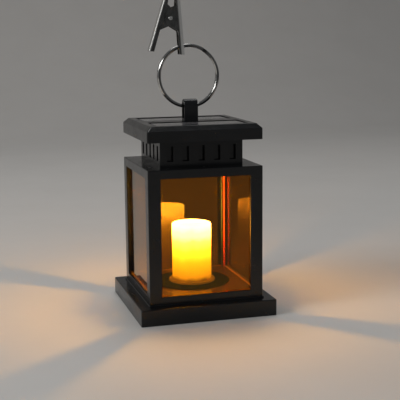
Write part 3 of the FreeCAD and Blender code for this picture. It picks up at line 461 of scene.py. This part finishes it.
def coiled_contact(material):
    """The tapered coil that presses on the cell, and the plate it stands on."""
    low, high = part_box("cell_spring")
    middle = (low + high) / 2
    points = []
    steps = 160
    for n in range(steps + 1):
        share = n / steps
        radius = CONTACT_WIDE - CONTACT_NARROWER * share
        angle = share * CONTACT_TURNS * 2 * math.pi
        points.append((low.x + CONTACT_START + CONTACT_RUN * share, middle.y + radius * math.cos(angle),
                       middle.z + radius * math.sin(angle)))
    coil = bent_wire("contact_coil", points, CONTACT_WIRE, material, "housing")
    mesh = bpy.data.meshes.new("contact_plate")
    flat = PLATE_SIZE / 2 - PLATE_CORNER
    ring = []
    for quarter in range(4):
        for step in range(5):
            angle = (quarter + step / 4) * math.pi / 2
            cx = flat * (1 if quarter in (0, 3) else -1)
            cz = flat * (1 if quarter in (0, 1) else -1)
            ring.append((cx + PLATE_CORNER * math.cos(angle), cz + PLATE_CORNER * math.sin(angle)))
    count = len(ring)
    verts = [(low.x + face, middle.y + a, middle.z + b) for face in PLATE_FACES for a, b in ring]
    sides = [(n, (n + 1) % count, count + (n + 1) % count, count + n) for n in range(count)]
    mesh.from_pydata(verts, [], sides + [tuple(reversed(range(count))), tuple(range(count, 2 * count))])
    show("contact_plate", mesh, material, "housing")
    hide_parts("cell_spring")


def conductor_tree():
    """Grows a panel's conductor lines: fingers across each strip of silicon and a bar along it."""
    tree = bpy.data.node_groups.new("conductor lines", "GeometryNodeTree")
    face = tree.interface
    face.new_socket("Geometry", in_out="OUTPUT", socket_type="NodeSocketGeometry")
    for name, kind in (("Corner", "Vector"), ("Strip length", "Float"), ("Strip width", "Float"),
                       ("Strip pitch", "Float"), ("Strips", "Int"), ("Fingers", "Int"),
                       ("Finger width", "Float"), ("Bar width", "Float"), ("Thickness", "Float"),
                       ("Metal", "Material")):
        face.new_socket(name, in_out="INPUT", socket_type="NodeSocket" + kind)
    g = Graph(tree)
    inputs = tree.nodes.new("NodeGroupInput")
    given = {socket.name: Term(g, socket) for socket in inputs.outputs if socket.name}
    length, width = given["Strip length"], given["Strip width"]

    def vector(x, y, z):
        return g.node("ShaderNodeCombineXYZ", None, {0: x, 1: y, 2: z})

    step = length / given["Fingers"]
    thickness = given["Thickness"]
    line = g.node("GeometryNodeMeshLine", None,
                  {"Count": given["Fingers"], "Start Location": vector(step * 0.5, 0.0, 0.0),
                   "Offset": vector(step, 0.0, 0.0)})
    finger = g.node("GeometryNodeMeshCube", None,
                    {"Size": vector(given["Finger width"], width * 0.97, thickness)})
    fingers = g.node("GeometryNodeInstanceOnPoints", None, {"Points": line, "Instance": finger})
    bar = g.node("GeometryNodeMeshCube", None,
                 {"Size": vector(length * 0.985, given["Bar width"], thickness * 1.6)})
    bar = g.node("GeometryNodeTransform", None,
                 {"Geometry": bar, "Translation": vector(length * 0.5, 0.0, 0.0)})
    strip = g.node("GeometryNodeJoinGeometry", None, {0: [fingers, bar]})
    rows = g.node("GeometryNodeMeshLine", None,
                  {"Count": given["Strips"], "Start Location": vector(0.0, width * 0.5, 0.0),
                   "Offset": vector(0.0, given["Strip pitch"], 0.0)})
    strips = g.node("GeometryNodeInstanceOnPoints", None, {"Points": rows, "Instance": strip})
    moved = g.node("GeometryNodeTransform", None, {"Geometry": strips, "Translation": given["Corner"]})
    real = g.node("GeometryNodeRealizeInstances", None, {0: moved})
    coloured = g.node("GeometryNodeSetMaterial", None, {"Geometry": real, "Material": given["Metal"]})
    g.node("NodeGroupOutput", None, {0: coloured})
    return tree


def grown_mesh(name, tree, values):
    """The plain mesh that a geometry tree makes with these inputs."""
    holder = bpy.data.objects.new(name, bpy.data.meshes.new(name))
    bpy.context.scene.collection.objects.link(holder)
    modifier = holder.modifiers.new("grow", "NODES")
    modifier.node_group = tree
    for item in tree.interface.items_tree:
        if item.in_out == "INPUT":
            modifier[item.identifier] = values[item.name]
    depsgraph = bpy.context.evaluated_depsgraph_get()
    mesh = bpy.data.meshes.new_from_object(holder.evaluated_get(depsgraph), depsgraph=depsgraph)
    holder.modifiers.clear()
    bpy.data.objects.remove(holder)
    return mesh


def conductor_lines(panel, tree, metal):
    """One panel's conductor lines, a little above its cells."""
    low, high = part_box("solar_cells_" + panel)
    pitch = (high.y - low.y + STRIP_GAP) / STRIPS
    values = {"Corner": (low.x, low.y, high.z), "Strip length": high.x - low.x,
              "Strip width": pitch - STRIP_GAP, "Strip pitch": pitch, "Strips": STRIPS,
              "Fingers": FINGERS, "Finger width": FINGER_WIDTH, "Bar width": BAR_WIDTH,
              "Thickness": LINE_THICKNESS, "Metal": metal}
    mesh = grown_mesh("conductor_lines_" + panel, tree, values)
    show("conductor_lines_" + panel, mesh, metal, "housing")


# ---------------------------------------------------------------- dress the frame
def dress():
    """Gives every carried-over piece its finish."""
    housing = moulded_plastic("moulded black", (0.0040, 0.0043, 0.0047), (0.0080, 0.0085, 0.0092),
                              gloss=0.15, grain_depth=0.00003, dust=0.13, sheen=0.38)
    cover = moulded_plastic("textured cover", (0.012, 0.012, 0.0115), (0.020, 0.020, 0.019),
                            gloss=0.48, grain_depth=0.00008)
    knob = moulded_plastic("switch plastic", (0.014, 0.014, 0.014), (0.024, 0.024, 0.023),
                           gloss=0.4, grain_depth=0.00004)
    stem = moulded_plastic("pale stem", (0.55, 0.53, 0.47), (0.66, 0.64, 0.58),
                           gloss=0.4, grain_depth=0.00004)
    zinc = plated_metal("zinc plate", (0.50, 0.50, 0.49), (0.66, 0.66, 0.64), 0.28)
    bright = plated_metal("bright steel", (0.50, 0.49, 0.47), (0.66, 0.65, 0.63), 0.18)
    spring = plated_metal("spring wire", (0.30, 0.30, 0.30), (0.44, 0.44, 0.44), 0.22)
    tinned = plated_metal("tinned copper", (0.62, 0.59, 0.54), (0.78, 0.75, 0.70), 0.25)
    low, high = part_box("candle_shell")
    wax = glowing_wax(low[2], high[2])
    pin_low, pin_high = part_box("clip_pin")
    pivot = (pin_low + pin_high) / 2
    cell_low, cell_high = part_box("rechargeable_cell")
    pane, silicon, resin = amber_pane(), solar_cell(), resin_board()
    finishes = {
        housing: ("base_shell", "frame", "neck", "vent_liner", "cap", "hanging_lug"),
        cover: ("bottom_cover", "battery_door"),
        knob: ("switch_knob", "switch_body", "board_parts"),
        stem: ("led_stem",),
        zinc: ("cover_screws", "door_screw", "tray_screws", "neck_screws", "cap_screws", "lug_screws",
               "board_screws"),
        ring_wire(*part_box("split_ring")): ("split_ring",),
        clip_sheet("clip outer sheet", pivot, 3.2 * MM): ("clip_outer",),
        clip_sheet("clip inner sheet", pivot, 1.3 * MM): ("clip_inner",),
        bright: ("clip_pin", "cell_plate"),
        spring: ("spring_outer", "spring_inner", "cell_spring"),
        tinned: ("led_leads",),
        pane: ("pane_front", "pane_rear", "pane_left", "pane_right"),
        wax: ("candle_shell",),
        clear_lens(): ("led",),
        tray_plastic(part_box("floor_tray")[1][0]): ("floor_tray",),
        polished_disc(): ("candle_seat",),
        silicon: ("solar_cells_front", "solar_cells_rear"),
        resin: ("solar_board_front", "solar_board_rear"),
        lead_jacket("red jacket", (0.62, 0.030, 0.012), (0.78, 0.065, 0.022)): ("solar_lead_red",),
        lead_jacket("black jacket", (0.010, 0.010, 0.010), (0.022, 0.022, 0.021)):
            ("solar_lead_black", "panel_link"),
        shrink_wrap(cell_low[0], cell_high[0]): ("rechargeable_cell",),
        circuit_board(): ("circuit_board",),
    }
    for material, names in finishes.items():
        for name in names:
            for slot in NODES[name].material_slots:
                slot.material = material
    torsion_spring(1, spring)
    torsion_spring(-1, spring)
    coiled_contact(bright)
    lines = conductor_tree()
    for panel in ("front", "rear"):
        conductor_lines(panel, lines, tinned)


# ---------------------------------------------------------------- studio
def studio_floor():
    """A pale floor that sweeps up into a backdrop, with a barely visible mottle."""
    f = Finish("studio floor")
    tone = f.mix(f.noise(9, 4, 0.6), (0.60, 0.58, 0.55), (0.66, 0.64, 0.61))
    material = f.done(f.surface(tone, 0.62 + 0.1 * f.noise(30, 3), f.bump(f.noise(900, 3), 0.0001, 0.3)))
    near, bend_at, bend, height, half_width = -2.2, 1.2, 0.9, 3.0, 3.0
    steps = 12
    profile = [(near, 0.0), (bend_at, 0.0)]
    for n in range(1, steps + 1):
        angle = n / steps * math.pi / 2
        profile.append((bend_at + bend * math.sin(angle), bend - bend * math.cos(angle)))
    profile.append((bend_at + bend, height))
    verts = [(x, y, z) for y, z in profile for x in (-half_width, half_width)]
    faces = [(2 * n, 2 * n + 1, 2 * n + 3, 2 * n + 2) for n in range(len(profile) - 1)]
    mesh = bpy.data.meshes.new("studio_floor")
    mesh.from_pydata(verts, [], faces)
    for polygon in mesh.polygons:
        polygon.use_smooth = True
    mesh.materials.append(material)
    floor = bpy.data.objects.new("studio_floor", mesh)
    bpy.context.scene.collection.objects.link(floor)


def lamp(name, kind, place, target, power, size, colour=(1, 1, 1)):
    """A round soft box, or a point lamp of that radius, that faces its target."""
    data = bpy.data.lights.new(name, kind)
    data.energy = power
    data.color = colour
    if kind == "AREA":
        data.shape = "DISK"
        data.size = size
    else:
        data.shadow_soft_size = size
    made = bpy.data.objects.new(name, data)
    made.location = place
    made.rotation_euler = (Vector(target) - Vector(place)).to_track_quat("-Z", "Y").to_euler()
    bpy.context.scene.collection.objects.link(made)
    return made


def studio():
    """A pale sweep, three soft lamps, dim air, and the candle's light on what stands round it."""
    studio_floor()
    aim = (0, 0, 0.12)
    lamp("key", "AREA", (-1.5, -0.35, 0.95), aim, 12.0, 0.8)
    lamp("fill", "AREA", (1.3, -1.2, 0.9), aim, 1.6, 1.0)
    lamp("top", "AREA", (0.1, 0.5, 1.6), aim, 7.0, 0.8)
    flame = lamp("flame", "POINT", (0, 0, 0.079), (0, 0, 0), 5.0, 0.004, (0.70, 1.0, 0.10))
    flame.visible_camera = flame.visible_glossy = flame.visible_transmission = False
    world = bpy.data.worlds.new("studio air")
    world.use_nodes = True
    world.node_tree.nodes["Background"].inputs[0].default_value = (0.55, 0.57, 0.6, 1.0)
    world.node_tree.nodes["Background"].inputs[1].default_value = 0.24
    bpy.context.scene.world = world


def camera():
    """Stands a little left of the front, about ten degrees above level."""
    place = Vector((-0.199512, -0.736569, 0.220123))
    target = Vector((0.007152, -0.002012, 0.087094))
    back = (place - target).normalized()
    right = Vector((0, 0, 1)).cross(back).normalized()
    up = back.cross(right)
    roll = math.radians(-0.562)
    across = right * math.cos(roll) + up * math.sin(roll)
    upward = up * math.cos(roll) - right * math.sin(roll)
    turn = Matrix((across, upward, back)).transposed()
    data = bpy.data.cameras.new("camera")
    data.sensor_width = 36.0
    data.lens = 84.9                    # a longer lens, so the housing's sides hardly converge
    made = bpy.data.objects.new("camera", data)
    made.matrix_world = Matrix.Translation(place) @ turn.to_4x4()
    bpy.context.scene.collection.objects.link(made)
    bpy.context.scene.camera = made


dress()
studio()
camera()
bpy.context.scene.view_settings.view_transform = "Standard"
